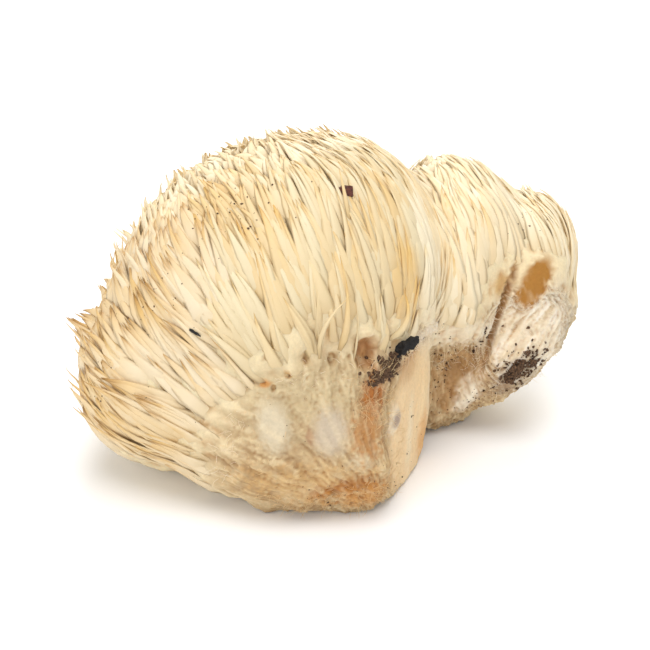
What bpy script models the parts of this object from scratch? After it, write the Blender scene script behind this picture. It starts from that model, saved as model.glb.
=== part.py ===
"""Lion's mane mushroom, lying as picked, with the bits of bark and soil that cling to it.

The grown fruit body is one solid. Its shaggy lobes are modelled out to the reach of their spines, and
its bald base at the flesh itself. Each bit of bark or soil is a solid of its own, seated in a shallow
pocket with a small gap round it. Sizes are in millimetres, which MM turns to metres. The model is laid
out about the middle of the front lobe's footprint, then moved to stand on the middle of its own box.
"""

import math
from dataclasses import dataclass

import bmesh
import bpy
from mathutils import Euler, Matrix, Vector, noise

MM = 0.001

FUSE_VOXEL = 2.0
SKIN_VOXEL = 1.6
SOFTEN_STEPS = 6
LUMPY_HEIGHT = 3.2
LUMPY_SIZE = 17.0
FRUIT_DETAIL = 0.12
BREAK_DEPTH = 40.0
RESTING_REACH = 120.0
POCKET_GAP = 0.4
CLOD_ROUGHNESS = 0.35
CLOD_GRAIN = 1.7


@dataclass(frozen=True)
class Finish:
    """Plain colour (sRGB, 0 to 1) and roughness of a piece."""

    name: str
    colour: tuple
    roughness: float


FLESH = Finish("mushroom_flesh", (0.90, 0.82, 0.66), 0.70)
CHARRED_BARK = Finish("charred_bark", (0.08, 0.07, 0.07), 0.60)
RED_BARK = Finish("red_brown_bark", (0.22, 0.09, 0.06), 0.65)
LEAF_MOULD = Finish("leaf_mould", (0.20, 0.14, 0.10), 0.95)


@dataclass(frozen=True)
class Lump:
    """One swelling of the fruit body: an ellipsoid with its centre, half-widths and turn."""

    name: str
    centre: tuple
    half: tuple
    turn_deg: tuple = (0.0, 0.0, 0.0)


FRUIT_LUMPS = (
    Lump("front_lobe", (-14, 0, 49), (50, 44, 44), (0, -34, 0)),
    Lump("front_crown", (0, 6, 57), (35, 36, 37)),
    Lump("left_skirt", (-41, -7, 29), (31, 33, 30), (0, -30, 0)),
    Lump("left_flank", (-44, -4, 40), (20, 30, 25), (0, -18, 0)),
    Lump("front_base", (-6, -20, 19), (47, 29, 25), (0, 6, 0)),
    Lump("front_waist", (-15, -20, 36), (44, 24, 24), (0, 4, 0)),
    Lump("stub", (13, -16, 20), (22, 23, 30), (0, 0, -20)),
    Lump("back_swell", (-10, 22, 38), (50, 30, 38)),
    Lump("middle_lobe", (35, 26, 48), (24, 30, 33), (0, 12, 0)),
    Lump("middle_base", (31, 22, 15), (18, 20, 23)),
    Lump("side_lobe", (58, 30, 45), (18, 26, 24), (0, 25, 0)),
    Lump("side_base", (53, 22, 24), (30, 22, 14), (0, -42, 0)),
)


@dataclass(frozen=True)
class Cut:
    """A flat break: what lies beyond the plane through point, along outward, is gone.

    The break reaches half[0] to each side and half[1] up and down.
    """

    name: str
    point: tuple
    outward: tuple
    half: tuple


BREAKS = (
    Cut("torn_facet", (24, -22, 20), (0.92, -0.38, 0.0), (22, 24)),
    Cut("pressed_flank", (37, -14, 58), (0.82, -0.57, 0.05), (22, 14)),
)
RESTING_FACE = Cut("resting_face", (0, 0, 0), (0, 0, -1), (RESTING_REACH, RESTING_REACH))

CHIP_FACETS = (
    ((0.60, 0.50, 0.0), (1.0, 0.8, 0.2)),
    ((-0.55, 0.55, 0.0), (-1.0, 1.1, -0.3)),
    ((-0.70, -0.40, 0.0), (-1.0, -0.7, 0.4)),
    ((0.55, -0.65, 0.0), (0.7, -1.0, 0.1)),
    ((0.0, 0.30, 0.75), (0.3, 0.5, 1.0)),
    ((0.2, -0.30, 0.80), (-0.2, -0.6, 1.0)),
)


@dataclass(frozen=True)
class Bit:
    """A clinging bit: its name, middle, half-widths, turn and finish, and whether it is a chip."""

    name: str
    centre: tuple
    half: tuple
    turn_deg: tuple
    finish: Finish
    is_chip: bool = True


BITS = (
    Bit("bark_chip", (21.6, -29.8, 47.2), (4.3, 2.2, 2.5), (0, -24, 14), CHARRED_BARK),
    Bit("mould_crumb", (15.9, -32.9, 42.2), (2.3, 1.6, 1.9), (0, 20, 0), LEAF_MOULD, False),
    Bit("soil_clod", (56.2, 0.9, 23.4), (4.4, 1.7, 1.8), (0, -56, 4), LEAF_MOULD, False),
    Bit("soil_crumb", (61.6, 1.1, 26.4), (1.1, 1.0, 1.0), (0, 0, 0), LEAF_MOULD, False),
    Bit("bark_flake", (4.8, -19.4, 87.7), (2.7, 0.8, 1.6), (-30, 0, 4), RED_BARK),
    Bit("needle_sliver", (-34.2, -39.3, 55.4), (1.9, 0.45, 0.45), (0, 14, -30), CHARRED_BARK),
)


def clear_scene():
    """Empties the startup scene."""
    for obj in list(bpy.data.objects):
        bpy.data.objects.remove(obj)


def collection(name, helper=False):
    """A new collection in the scene, left out of renders if it holds helpers."""
    made = bpy.data.collections.new(name)
    made.hide_render = helper
    bpy.context.scene.collection.children.link(made)
    return made


def coloured(obj, finish):
    """Gives an object its material."""
    material = bpy.data.materials.new(finish.name)
    material.use_nodes = True
    shader = material.node_tree.nodes["Principled BSDF"]
    shader.inputs["Base Color"].default_value = (*finish.colour, 1.0)
    shader.inputs["Roughness"].default_value = finish.roughness
    obj.data.materials.append(material)


def placed(centre, turn_deg, size):
    """The matrix, in metres, that turns a unit shape to this size and place."""
    turn = Euler([math.radians(angle) for angle in turn_deg]).to_matrix().to_4x4()
    metres = Matrix.Scale(MM, 4)
    return metres @ Matrix.Translation(centre) @ turn @ Matrix.Diagonal([*size, 1.0])


def new_object(name, bm, folder, stand):
    """An object on the stand, made from a bmesh, which this frees."""
    mesh = bpy.data.meshes.new(name)
    bm.to_mesh(mesh)
    bm.free()
    made = bpy.data.objects.new(name, mesh)
    made.parent = stand
    folder.objects.link(made)
    return made


def remeshed(obj, name, voxel):
    """Adds a voxel remesh, which fuses what overlaps."""
    modifier = obj.modifiers.new(name, "REMESH")
    modifier.mode = "VOXEL"
    modifier.voxel_size = voxel * MM


def subtracted(obj, cutter):
    """Adds a Boolean that takes the cutter away."""
    cutter.hide_render = True
    cutter.display_type = "WIRE"
    modifier = obj.modifiers.new(cutter.name, "BOOLEAN")
    modifier.operation = "DIFFERENCE"
    modifier.object = cutter


def made_lumpy(obj):
    """Adds the gentle rise and fall that grown flesh has."""
    swell = bpy.data.textures.new("swell", "CLOUDS")
    swell.noise_scale = LUMPY_SIZE * MM
    lumpy = obj.modifiers.new("lumpy", "DISPLACE")
    lumpy.texture = swell
    lumpy.texture_coords = "LOCAL"
    lumpy.strength = LUMPY_HEIGHT * MM


def break_cutter(cut, folder, stand):
    """The block beyond a flat break, with its near face on the break."""
    outward = Vector(cut.outward).normalized()
    turn = outward.to_track_quat("X", "Z").to_euler()
    centre = Vector(cut.point) + outward * BREAK_DEPTH / 2
    size = (BREAK_DEPTH, 2 * cut.half[0], 2 * cut.half[1])
    bm = bmesh.new()
    place = placed(centre, [math.degrees(angle) for angle in turn], size)
    bmesh.ops.create_cube(bm, size=1.0, matrix=place)
    return new_object(cut.name, bm, folder, stand)


def fruit_body(folder, cutters, stand):
    """The whole grown mushroom: lumps fused, broken faces cut, skin softened, and a face to rest on."""
    bm = bmesh.new()
    for lump in FRUIT_LUMPS:
        place = placed(lump.centre, lump.turn_deg, lump.half)
        bmesh.ops.create_icosphere(bm, subdivisions=4, radius=1.0, matrix=place)
    body = new_object("fruit_body", bm, folder, stand)
    remeshed(body, "fuse", FUSE_VOXEL)
    for cut in BREAKS:
        subtracted(body, break_cutter(cut, cutters, stand))
    remeshed(body, "skin", SKIN_VOXEL)
    soften = body.modifiers.new("soften", "SMOOTH")
    soften.iterations = SOFTEN_STEPS
    made_lumpy(body)
    thin = body.modifiers.new("thin", "DECIMATE")
    thin.ratio = FRUIT_DETAIL
    subtracted(body, break_cutter(RESTING_FACE, cutters, stand))
    coloured(body, FLESH)
    return body


def chip_shape(bm):
    """An angular flake within the unit cube: a cube with its corners split off."""
    bmesh.ops.create_cube(bm, size=2.0)
    for point, outward in CHIP_FACETS:
        everything = bm.verts[:] + bm.edges[:] + bm.faces[:]
        split = bmesh.ops.bisect_plane(
            bm, geom=everything, plane_co=point, plane_no=outward, clear_outer=True
        )
        rim = [edge for edge in split["geom_cut"] if isinstance(edge, bmesh.types.BMEdge)]
        bmesh.ops.contextual_create(bm, geom=rim)
    bmesh.ops.recalc_face_normals(bm, faces=bm.faces)


def clod_shape(bm, seed):
    """A crumbly lump about the unit sphere."""
    bmesh.ops.create_icosphere(bm, subdivisions=2, radius=1.0)
    for vert in bm.verts:
        bump = noise.noise(vert.co * CLOD_GRAIN + Vector((seed, 0.0, 0.0)))
        vert.co *= 1.0 + CLOD_ROUGHNESS * bump


def bit_object(bit, name, grow, folder, stand):
    """A bit of bark or soil, grown by some millimetres each way when it is to be a pocket."""
    bm = bmesh.new()
    if bit.is_chip:
        chip_shape(bm)
    else:
        clod_shape(bm, bit.centre[0])
    size = [half + grow for half in bit.half]
    bmesh.ops.transform(bm, matrix=placed(bit.centre, bit.turn_deg, size), verts=bm.verts)
    return new_object(name, bm, folder, stand)


def stand_on_origin(stand, pieces):
    """Moves the stand so that the middle of the box's underside is at the origin."""
    bpy.context.view_layer.update()
    graph = bpy.context.evaluated_depsgraph_get()
    corners = []
    for obj in pieces.objects:
        seen = obj.evaluated_get(graph)
        corners += [seen.matrix_world @ Vector(corner) for corner in seen.bound_box]
    low = [min(corner[axis] for corner in corners) for axis in range(3)]
    high = [max(corner[axis] for corner in corners) for axis in range(3)]
    stand.location = (-(low[0] + high[0]) / 2, -(low[1] + high[1]) / 2, -low[2])
    bpy.context.view_layer.update()


def main():
    """Builds every piece and stands the whole on the origin."""
    clear_scene()
    pieces = collection("lions_mane_mushroom")
    cutters = collection("cutters", helper=True)
    stand = bpy.data.objects.new("stand", None)
    bpy.context.scene.collection.objects.link(stand)
    body = fruit_body(pieces, cutters, stand)
    for bit in BITS:
        subtracted(body, bit_object(bit, f"pocket_{bit.name}", POCKET_GAP, cutters, stand))
        coloured(bit_object(bit, bit.name, 0.0, pieces, stand), bit.finish)
    stand_on_origin(stand, pieces)


main()
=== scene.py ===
"""Lion's mane mushroom, lying as picked: flesh, spines, hairs, and the bark and soil that cling to it.

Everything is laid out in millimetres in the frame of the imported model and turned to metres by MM. The
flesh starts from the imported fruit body. Where the head is shaggy the flesh lies deeper than that solid,
and spines grow back out to it. Where the head is bald the flesh is at the solid's own surface.
"""

import logging
import math
from dataclasses import astuple, dataclass
from enum import Enum
from itertools import product

import bmesh
import bpy
import numpy as np
from bpy.types import ID, Material, Mesh, Node, NodeSocket, NodeTree, Object, bpy_prop_collection
from mathutils import Euler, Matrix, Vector, noise
from mathutils.bvhtree import BVHTree


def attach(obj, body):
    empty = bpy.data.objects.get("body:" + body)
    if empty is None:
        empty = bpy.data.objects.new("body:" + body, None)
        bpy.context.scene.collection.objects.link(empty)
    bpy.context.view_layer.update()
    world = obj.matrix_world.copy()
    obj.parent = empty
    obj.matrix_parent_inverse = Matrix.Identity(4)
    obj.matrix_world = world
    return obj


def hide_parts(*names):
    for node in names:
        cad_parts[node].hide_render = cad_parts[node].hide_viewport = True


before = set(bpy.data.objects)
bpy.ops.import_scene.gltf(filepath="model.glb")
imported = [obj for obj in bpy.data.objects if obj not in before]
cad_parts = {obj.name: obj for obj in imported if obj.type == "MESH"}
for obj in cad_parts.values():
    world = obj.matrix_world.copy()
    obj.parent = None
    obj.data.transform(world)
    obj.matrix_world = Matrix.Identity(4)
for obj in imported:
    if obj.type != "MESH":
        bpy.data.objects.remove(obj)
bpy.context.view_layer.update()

Vec = tuple[float, float, float]
Rgba = tuple[float, float, float, float]
Stops = tuple[tuple[float, str], ...]
# An array with a row or a value for each point, face or spine.
Rows = np.ndarray

# One millimetre in metres.
MM = 0.001
BODY = "root"
# The map and the attribute that the materials read.
MAP = "OFBake"
TONE = "tone"
# IOR of moist mushroom, which is mostly water.
MOIST_IOR = 1.38
# From here on along x the head is the side lobe, and the way that its front faces.
SIDE_LOBE_X = 40.0
FRONTWARD: Vec = (0.45, -0.85, 0.25)
LOG = logging.getLogger("lions_mane")


# -------- small helpers


def linear(hex_code: str) -> Rgba:
    """Turns an sRGB hex colour to linear light.

    Args:
        hex_code: six hex digits, such as "F2E6CC".

    Returns:
        Red, green, blue and an alpha of 1.
    """
    parts = [int(hex_code[i : i + 2], 16) / 255 for i in (0, 2, 4)]
    red, green, blue = [c / 12.92 if c <= 0.04045 else ((c + 0.055) / 1.055) ** 2.4 for c in parts]
    return (red, green, blue, 1.0)


def fill(node: Node, inputs: dict) -> None:
    """Sets or links a shader node's inputs.

    Args:
        node: the node.
        inputs: for each socket name or number, a value, or another node's output socket.
    """
    for name, value in inputs.items():
        if isinstance(value, NodeSocket):
            node.id_data.links.new(value, node.inputs[name])
        else:
            node.inputs[name].default_value = value


def add_node(
    tree: NodeTree, kind: str, settings: dict | None = None, inputs: dict | None = None
) -> Node:
    """Adds a shader node with its settings and links.

    Args:
        tree: the node tree that takes it.
        kind: the node's type name.
        settings: attributes of the node, by name.
        inputs: its inputs, as fill takes them.

    Returns:
        The new node.
    """
    made = tree.nodes.new(kind)
    for name, value in (settings or {}).items():
        setattr(made, name, value)
    fill(made, inputs or {})
    return made


def fill_ramp(ramp: Node, stops: Stops) -> None:
    """Sets a colour ramp's stops.

    Args:
        ramp: a ShaderNodeValToRGB.
        stops: place from 0 to 1 and sRGB hex of each stop, in order.
    """
    elements = ramp.color_ramp.elements
    while len(elements) < len(stops):
        elements.new(1.0)
    for element, (place, colour) in zip(elements, stops):
        element.position = place
        element.color = linear(colour)


def unit(vectors: Rows) -> Rows:
    """Each row scaled to a length of 1."""
    return vectors / np.maximum(np.linalg.norm(vectors, axis=-1, keepdims=True), 1e-9)


def eased(values: Rows) -> Rows:
    """Smooth step from 0 to 1."""
    held = np.clip(values, 0.0, 1.0)
    return held * held * (3.0 - 2.0 * held)


def ripple(points: Rows, size: float, seed: float = 0.0) -> Rows:
    """Gentle noise, about -1 to 1.

    Args:
        points: rows of x, y, z in millimetres.
        size: size of its swells in millimetres.
        seed: shifts the pattern.

    Returns:
        One value for each row.
    """
    return np.array([noise.noise(Vector(p)) for p in points / size + seed]) * 1.6


def pores(points: Rows, size: float, seed: float = 0.0) -> Rows:
    """Distance to the nearest of scattered centres, 0 at a centre and about 1 between them."""
    return np.array([noise.voronoi(Vector(p))[0][0] for p in points / size + seed])


def placed(name: str, data: ID) -> Object:
    """Places a mesh, a lamp or a camera in the scene.

    Args:
        name: the object's name.
        data: what it shows.

    Returns:
        The new object.
    """
    made = bpy.data.objects.new(name, data)
    bpy.context.scene.collection.objects.link(made)
    return made


def shade(mesh: Mesh, smooth: bool) -> None:
    """Shades all faces smooth or flat."""
    mesh.polygons.foreach_set("use_smooth", np.full(len(mesh.polygons), smooth))


def new_piece(name: str, verts: Rows, faces: list[Rows]) -> Object:
    """Makes a smooth mesh object from arrays.

    Args:
        name: the object's name.
        verts: rows of x, y, z in millimetres.
        faces: arrays of corner numbers, one array for each number of corners.

    Returns:
        The new object, at the origin, linked to the scene.
    """
    mesh = bpy.data.meshes.new(name)
    corners = np.concatenate([part.ravel() for part in faces])
    totals = np.concatenate([np.full(len(part), part.shape[1]) for part in faces])
    starts = np.concatenate([[0], np.cumsum(totals)[:-1]])
    mesh.vertices.add(len(verts))
    mesh.vertices.foreach_set("co", (verts * MM).astype(np.float32).ravel())
    mesh.loops.add(len(corners))
    mesh.loops.foreach_set("vertex_index", corners.astype(np.int32))
    mesh.polygons.add(len(totals))
    mesh.polygons.foreach_set("loop_start", starts.astype(np.int32))
    mesh.polygons.foreach_set("loop_total", totals.astype(np.int32))
    shade(mesh, True)
    mesh.update(calc_edges=True)
    return placed(name, mesh)


def new_tubes(name: str, paths: Rows, across: Rows, upward: Rows, sides: int) -> Object:
    """Makes many closed tubes as one mesh, each pointed at the end of its path.

    Args:
        name: the object's name.
        paths: points of each tube's middle line in millimetres, its tip last.
        across: half of its width at each ring, as a vector.
        upward: half of its height at each ring, as a vector.
        sides: how many sides it has.

    Returns:
        The new object. Each tube's points are its rings, root first, and then its tip.
    """
    count, rings = across.shape[:2]
    angle = (np.arange(sides) * 2 * math.pi / sides)[:, None]
    around = across[:, :, None] * np.cos(angle) + upward[:, :, None] * np.sin(angle)
    around = (paths[:, :rings, None] + around).reshape(count, -1, 3)
    verts = np.concatenate([around, paths[:, rings:]], axis=1)
    i = np.arange(sides)
    j = (i + 1) % sides
    last = (rings - 1) * sides
    wall = np.stack([i, j, j + sides, i + sides], 1)
    walls = np.concatenate([wall + ring * sides for ring in range(rings - 1)])
    tip = np.stack([i + last, j + last, np.full(sides, last + sides)], 1)
    offset = (np.arange(count) * (last + sides + 1))[:, None, None]
    faces = [(part + offset).reshape(-1, part.shape[1]) for part in (walls, tip, i[::-1][None])]
    return new_piece(name, verts.reshape(-1, 3), faces)


def read(items: bpy_prop_collection, field: str, wide: int, kind: type = np.float32) -> Rows:
    """Reads one attribute of a mesh's points, edges or corners.

    Args:
        items: the mesh's collection of them.
        field: the attribute's name.
        wide: how many numbers each has.
        kind: what numbers they are.

    Returns:
        One row each.
    """
    flat = np.empty(len(items) * wide, kind)
    items.foreach_get(field, flat)
    return flat.reshape(-1, wide)


def points_of(mesh: Mesh) -> Rows:
    """The mesh's points in millimetres, one a row."""
    return read(mesh.vertices, "co", 3).astype(float) / MM


def normals_of(mesh: Mesh) -> Rows:
    """The mesh's point normals, one a row."""
    return read(mesh.vertex_normals, "vector", 3).astype(float)


def move_points(mesh: Mesh, points: Rows) -> None:
    """Sets the mesh's points, given in millimetres."""
    mesh.vertices.foreach_set("co", (points * MM).astype(np.float32).ravel())
    mesh.update()


def spread(mesh: Mesh, values: Rows, rounds: int) -> Rows:
    """Evens out values over a mesh, each point with those it shares an edge with.

    Args:
        mesh: the mesh.
        values: one row for each point.
        rounds: how many times.

    Returns:
        The evened values.
    """
    a, b = read(mesh.edges, "vertices", 2, np.int32).T
    count = len(mesh.vertices)
    near = np.bincount(a, minlength=count) + np.bincount(b, minlength=count) + 1.0
    out = np.array(values, float).reshape(count, -1)
    for _ in range(rounds):
        total = out.copy()
        for column in range(out.shape[1]):
            total[:, column] += np.bincount(a, out[b, column], count)
            total[:, column] += np.bincount(b, out[a, column], count)
        out = total / near[:, None]
    return out.reshape(np.shape(values))


def nearest(tree: BVHTree, points: Rows) -> tuple[Rows, Rows]:
    """How far points lie outside a surface, and which way is out.

    Args:
        tree: the surface, in metres.
        points: rows in millimetres.

    Returns:
        Signed distance in millimetres, above 0 outside, and the nearest faces' normals.
    """
    away = np.empty(len(points))
    outward = np.empty((len(points), 3))
    for row, point in enumerate(points * MM):
        place, normal, _, _ = tree.find_nearest(Vector(point))
        outward[row] = normal
        away[row] = (Vector(point) - place).dot(normal) / MM
    return away, outward


def finished(obj: Object, kind: str, **settings: object) -> None:
    """Adds a modifier and applies it.

    Args:
        obj: the object.
        kind: the modifier's type.
        settings: the modifier's attributes, by name.
    """
    bpy.ops.object.select_all(action="DESELECT")
    obj.select_set(True)
    bpy.context.view_layer.objects.active = obj
    modifier = obj.modifiers.new(kind.lower(), kind)
    for name, value in settings.items():
        setattr(modifier, name, value)
    bpy.ops.object.modifier_apply(modifier=modifier.name)


def node_copy(node: str, name: str) -> Object:
    """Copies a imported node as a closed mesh, with its doubled points merged.

    Args:
        node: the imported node's name.
        name: the copy's name.

    Returns:
        The new object, without a material.
    """
    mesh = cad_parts[node].data.copy()
    mesh.name = name
    mesh.materials.clear()
    bm = bmesh.new()
    bm.from_mesh(mesh)
    bmesh.ops.remove_doubles(bm, verts=bm.verts, dist=1e-6)
    bm.to_mesh(mesh)
    bm.free()
    return placed(name, mesh)


# -------- where things are on the head


@dataclass(frozen=True)
class Blob:
    """A soft-edged ellipsoid of space, in millimetres, that some feature of the flesh fills."""

    name: str
    centre: Vec
    radii: Vec
    turn_deg: Vec = (0.0, 0.0, 0.0)
    soft: float = 0.3

    def turn(self) -> Rows:
        """Its turn, as a matrix."""
        return np.array(Euler([math.radians(angle) for angle in self.turn_deg]).to_matrix())

    def share(self, points: Rows, grown_mm: float = 0.0) -> Rows:
        """Finds how far inside points are.

        Args:
            points: rows in millimetres.
            grown_mm: how much is added to its radii.

        Returns:
            1 for each point inside and 0 for each outside, easing over the soft rim.
        """
        local = (points - np.array(self.centre)) @ self.turn() / (np.array(self.radii) + grown_mm)
        return eased((1.0 + self.soft - np.linalg.norm(local, axis=1)) / (2 * self.soft))


BALD_BLOBS = (
    Blob("base", (3, -44, 18), (38, 26, 32), soft=0.24),
    Blob("torn_facet", (22, -20, 18), (14, 24, 32), soft=0.2),
    Blob("recess", (36, -6, 18), (20, 20, 17), soft=0.12),
    Blob("under_recess", (40, -2, 4), (26, 16, 12), soft=0.12),
    Blob("side_tear", (60, -6, 28), (21, 22, 24), soft=0.2),
    Blob("ochre_patch", (58.5, 0, 50), (3.3, 8, 8.0), (0, 30, 0), soft=0.1),
)


class Growth(Enum):
    """The parts of the coat, each made as one piece."""

    FRONT = "front_spines"
    LEFT = "left_spines"
    CROWN = "crown_spines"
    BACK = "back_spines"
    SIDE = "side_lobe_spines"


@dataclass(frozen=True)
class Habit:
    """How spines grow at one place.

    Lengths and widths are in millimetres, gap is between the spines that lie on top, fuse goes from 0 for
    free round spines to 1 for flat ones that have grown together, flare is how far tips stand off, and
    tuft is how much neighbours draw together toward their tips.
    """

    length: float
    wide: float
    gap: float
    fuse: float
    flare: float
    tuft: float


# The columns of a habit's fields in an array.
LENGTH, WIDE, GAP, FUSE, FLARE, TUFT = range(6)

LONG = Habit(41.0, 3.4, 5.4, 0.5, 2.5, 0.5)
MATTED = Habit(36.0, 3.5, 6.4, 0.9, 8.0, 0.7)
SHORT = Habit(27.0, 2.6, 3.8, 0.7, 3.2, 0.4)
SOFT = Habit(31.0, 2.7, 4.4, 0.7, 2.4, 0.5)
PANEL = Habit(39.0, 3.4, 5.8, 0.85, 1.4, 0.4)
FUSED = Habit(34.0, 4.6, 9.0, 1.0, 0.3, 0.3)


@dataclass(frozen=True)
class Comb:
    """The way the spines lie and grow at one place on the head."""

    growth: Growth
    habit: Habit
    at: Vec
    toward: Vec


COMBS = (
    Comb(Growth.FRONT, LONG, (-10, -46, 50), (-0.21, 0.41, 0.89)),
    Comb(Growth.FRONT, LONG, (-10, -39, 70), (-0.34, 0.40, 0.85)),
    Comb(Growth.FRONT, LONG, (14, -32, 62), (-0.14, 0.42, 0.90)),
    Comb(Growth.FRONT, SOFT, (20, -20, 76), (-0.10, 0.40, 0.91)),
    Comb(Growth.LEFT, LONG, (-36, -42, 55), (-0.64, 0.32, 0.69)),
    Comb(Growth.LEFT, MATTED, (-52, -30, 55), (-0.67, 0.31, 0.67)),
    Comb(Growth.LEFT, MATTED, (-32, -48, 30), (-0.90, 0.10, 0.42)),
    Comb(Growth.LEFT, MATTED, (-60, -35, 30), (-0.85, 0.18, 0.48)),
    Comb(Growth.LEFT, MATTED, (-46, -42, 18), (-0.95, 0.05, 0.26)),
    Comb(Growth.LEFT, MATTED, (-72, -15, 35), (-0.86, 0.10, 0.46)),
    Comb(Growth.CROWN, SHORT, (-10, 0, 92), (-0.32, 0.05, 0.94)),
    Comb(Growth.CROWN, SHORT, (-42, -10, 78), (-0.57, 0.15, 0.80)),
    Comb(Growth.CROWN, SHORT, (0, 30, 82), (-0.22, 0.45, 0.86)),
    Comb(Growth.SIDE, FUSED, (28, -13, 54), (-0.12, 0.42, 0.90)),
    Comb(Growth.SIDE, SOFT, (34, 8, 74), (-0.25, 0.35, 0.90)),
    Comb(Growth.SIDE, PANEL, (42, 2, 54), (-0.22, 0.40, 0.89)),
    Comb(Growth.SIDE, SOFT, (64, 12, 58), (-0.46, 0.35, 0.80)),
    Comb(Growth.SIDE, SOFT, (66, 32, 50), (0.05, 0.55, 0.83)),
    Comb(Growth.SIDE, SOFT, (40, 45, 45), (-0.05, 0.60, 0.80)),
    Comb(Growth.BACK, LONG, (-10, 48, 45), (-0.15, 0.45, 0.88)),
    Comb(Growth.BACK, LONG, (-50, 35, 55), (-0.55, 0.42, 0.72)),
    Comb(Growth.BACK, MATTED, (-66, 15, 32), (-0.82, 0.25, 0.52)),
    Comb(Growth.BACK, LONG, (0, 45, 14), (0.0, 0.70, 0.70)),
)


class CombField:
    """The lie of the coat all over the head, blended from the combs."""

    reach_mm: float = 15.0

    def __init__(self, combs: tuple[Comb, ...]) -> None:
        """Keeps the combs as arrays.

        Args:
            combs: the combs, all over the head.
        """
        self.at = np.array([comb.at for comb in combs], float)
        self.toward = unit(np.array([comb.toward for comb in combs], float))
        self.growth = np.array([list(Growth).index(comb.growth) for comb in combs])
        self.habits = np.array([astuple(comb.habit) for comb in combs])

    def weights(self, points: Rows) -> Rows:
        """Weighs the combs, by a bell curve around each one.

        Args:
            points: rows in millimetres.

        Returns:
            How much each comb counts at each point.
        """
        gap = np.linalg.norm(points[:, None, :] - self.at[None], axis=2)
        least = gap.min(axis=1, keepdims=True)
        return np.exp(-0.5 * (gap**2 - least**2) / self.reach_mm**2)

    def blended(self, points: Rows, values: Rows) -> Rows:
        """The combs' values, blended at each point."""
        weight = self.weights(points)
        return (weight @ values) / weight.sum(axis=1, keepdims=True)

    def lie(self, points: Rows) -> Rows:
        """The way that spines point at each point."""
        return unit(self.blended(points, self.toward))

    def habit(self, points: Rows) -> Rows:
        """Length, width, gap, fuse, flare and tuft at each point, one column each."""
        return self.blended(points, self.habits)

    def growth_of(self, points: Rows) -> Rows:
        """Number of the growth that each point belongs to."""
        return self.growth[self.weights(points).argmax(axis=1)]


def bald_share(points: Rows, grown_mm: float = 0.0) -> Rows:
    """Finds how bald the flesh is.

    Args:
        points: rows in millimetres.
        grown_mm: how much wider than they are the bald places count.

    Returns:
        One value for each point, from 0 under full spines to 1.
    """
    left = np.ones(len(points))
    for blob in BALD_BLOBS:
        left *= 1.0 - blob.share(points, grown_mm)
    return 1.0 - left


def rim_share(bare: Rows) -> Rows:
    """How near each point is to the rim of the coat, from how bald it is."""
    return eased(bare / 0.3) * eased((1.3 - bare) / 0.7)


def torn_share(points: Rows) -> Rows:
    """How far inside the white torn side each point is, its ochre patch left out."""
    return TORN_FACE.share(points) * (1 - OCHRE_FACE.share(points))


# -------- finishes


@dataclass(frozen=True)
class Finish:
    """What every finish starts from: a named material with one Principled shader."""

    name: str

    def start(self) -> tuple[Material, NodeTree, Node]:
        """Makes a plain material.

        Returns:
            The material, its node tree and its shader.
        """
        made = bpy.data.materials.new(self.name)
        made.use_nodes = True
        return made, made.node_tree, made.node_tree.nodes["Principled BSDF"]


@dataclass(frozen=True)
class Grain:
    """A grain of a real size, which also bumps the surface.

    Bump is how strong its bumps are, layers is how many finer grains it has, and rough how strong they
    are.
    """

    size_mm: float
    bump_mm: float
    bump: float
    layers: float
    rough: float

    def value(self, tree: NodeTree) -> NodeSocket:
        """Adds the grain to a material.

        Args:
            tree: the material's node tree.

        Returns:
            The grain's value, about 0 to 1.
        """
        place = add_node(tree, "ShaderNodeTexCoord")
        look = {"Scale": 1 / (self.size_mm * MM), "Detail": self.layers, "Roughness": self.rough}
        noisy = add_node(tree, "ShaderNodeTexNoise", None, {"Vector": place.outputs["Object"], **look})
        look = {"Height": noisy.outputs[0], "Strength": self.bump, "Distance": self.bump_mm * MM}
        bumped = add_node(tree, "ShaderNodeBump", None, look)
        fill(tree.nodes["Principled BSDF"], {"Normal": bumped.outputs[0]})
        return noisy.outputs[0]


@dataclass(frozen=True)
class SpineFinish(Finish):
    """Mushroom spine: soft and waxy, pale cream when fresh, darkening to honey and ochre as it dries.

    The colour runs along the spine (U of its map) and from fresh to dried (V of its map), so that each
    spine goes from a dull root over a pale length to a darker tip.
    """

    fresh_stops: Stops
    dried_stops: Stops
    roughness: float = 0.5

    def material(self) -> Material:
        """Builds the material.

        Returns:
            The new material.
        """
        made, tree, shader = self.start()
        chart = add_node(tree, "ShaderNodeUVMap", {"uv_map": MAP})
        split = add_node(tree, "ShaderNodeSeparateXYZ", None, {0: chart.outputs[0]})
        ramps = []
        for stops in (self.fresh_stops, self.dried_stops):
            ramps.append(add_node(tree, "ShaderNodeValToRGB", None, {0: split.outputs[0]}))
            fill_ramp(ramps[-1], stops)
        colours = {0: split.outputs[1], 6: ramps[0].outputs[0], 7: ramps[1].outputs[0]}
        mixed = add_node(tree, "ShaderNodeMix", {"data_type": "RGBA"}, colours)
        fill(shader, {"Base Color": mixed.outputs[2], "Roughness": self.roughness, "IOR": MOIST_IOR})
        return made


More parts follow.
